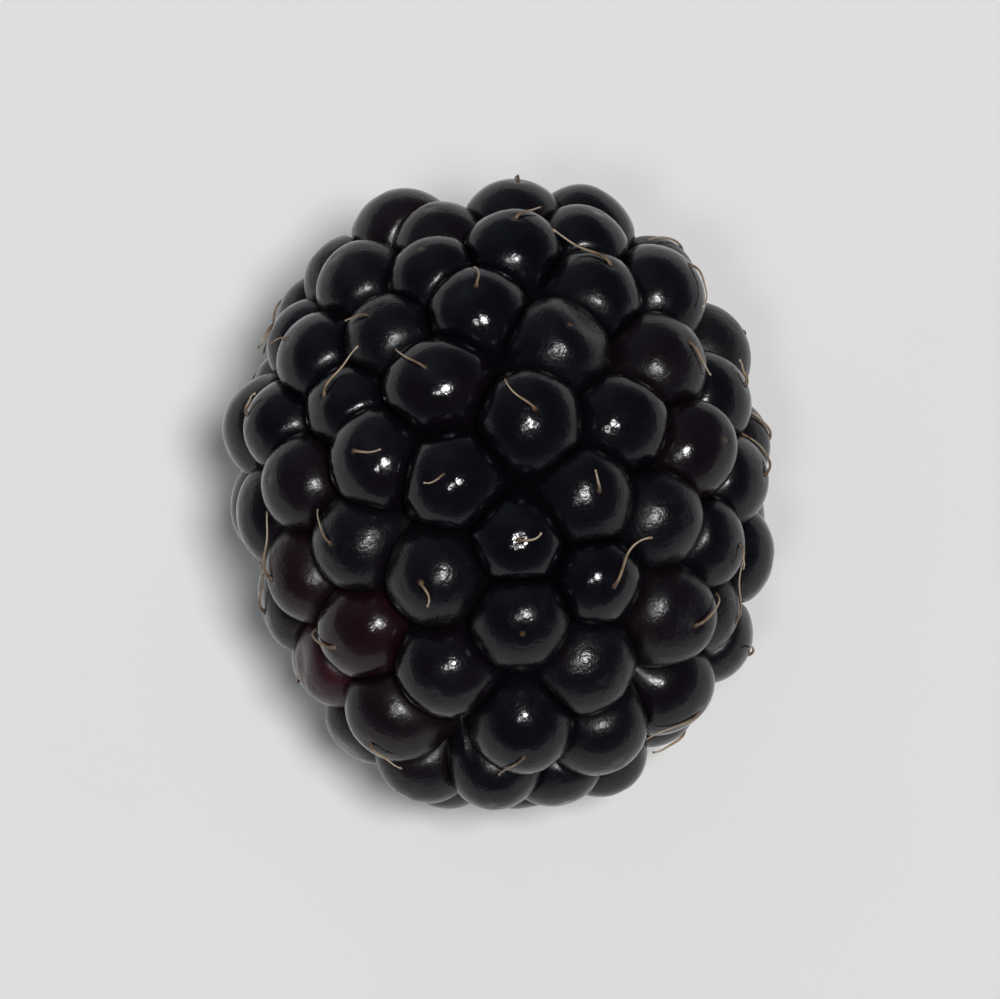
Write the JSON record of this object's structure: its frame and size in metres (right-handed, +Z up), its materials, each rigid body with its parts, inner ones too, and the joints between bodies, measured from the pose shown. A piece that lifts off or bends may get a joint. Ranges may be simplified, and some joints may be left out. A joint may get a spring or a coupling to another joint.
{
  "type": "bramble berry",
  "caption": "Ripe bramble berry lying on its side: a plump oblong fruit crowded with glossy near-black drupelets, picked without its calyx.",
  "frame": {"origin": "middle of the fruit's footprint, on the surface it lies on", "axes": "+Y along the fruit from its tip to its stem end, +Z up, +X across"},
  "size_m": [0.0243, 0.0286, 0.0244],
  "materials": {
    "berry_skin": "gloss",
    "dried_style": "matte",
    "stem_scar": "matte"
  },
  "bodies": {
    "root": {"bramble_berry": "berry_skin"}
  },
  "joints": []
}
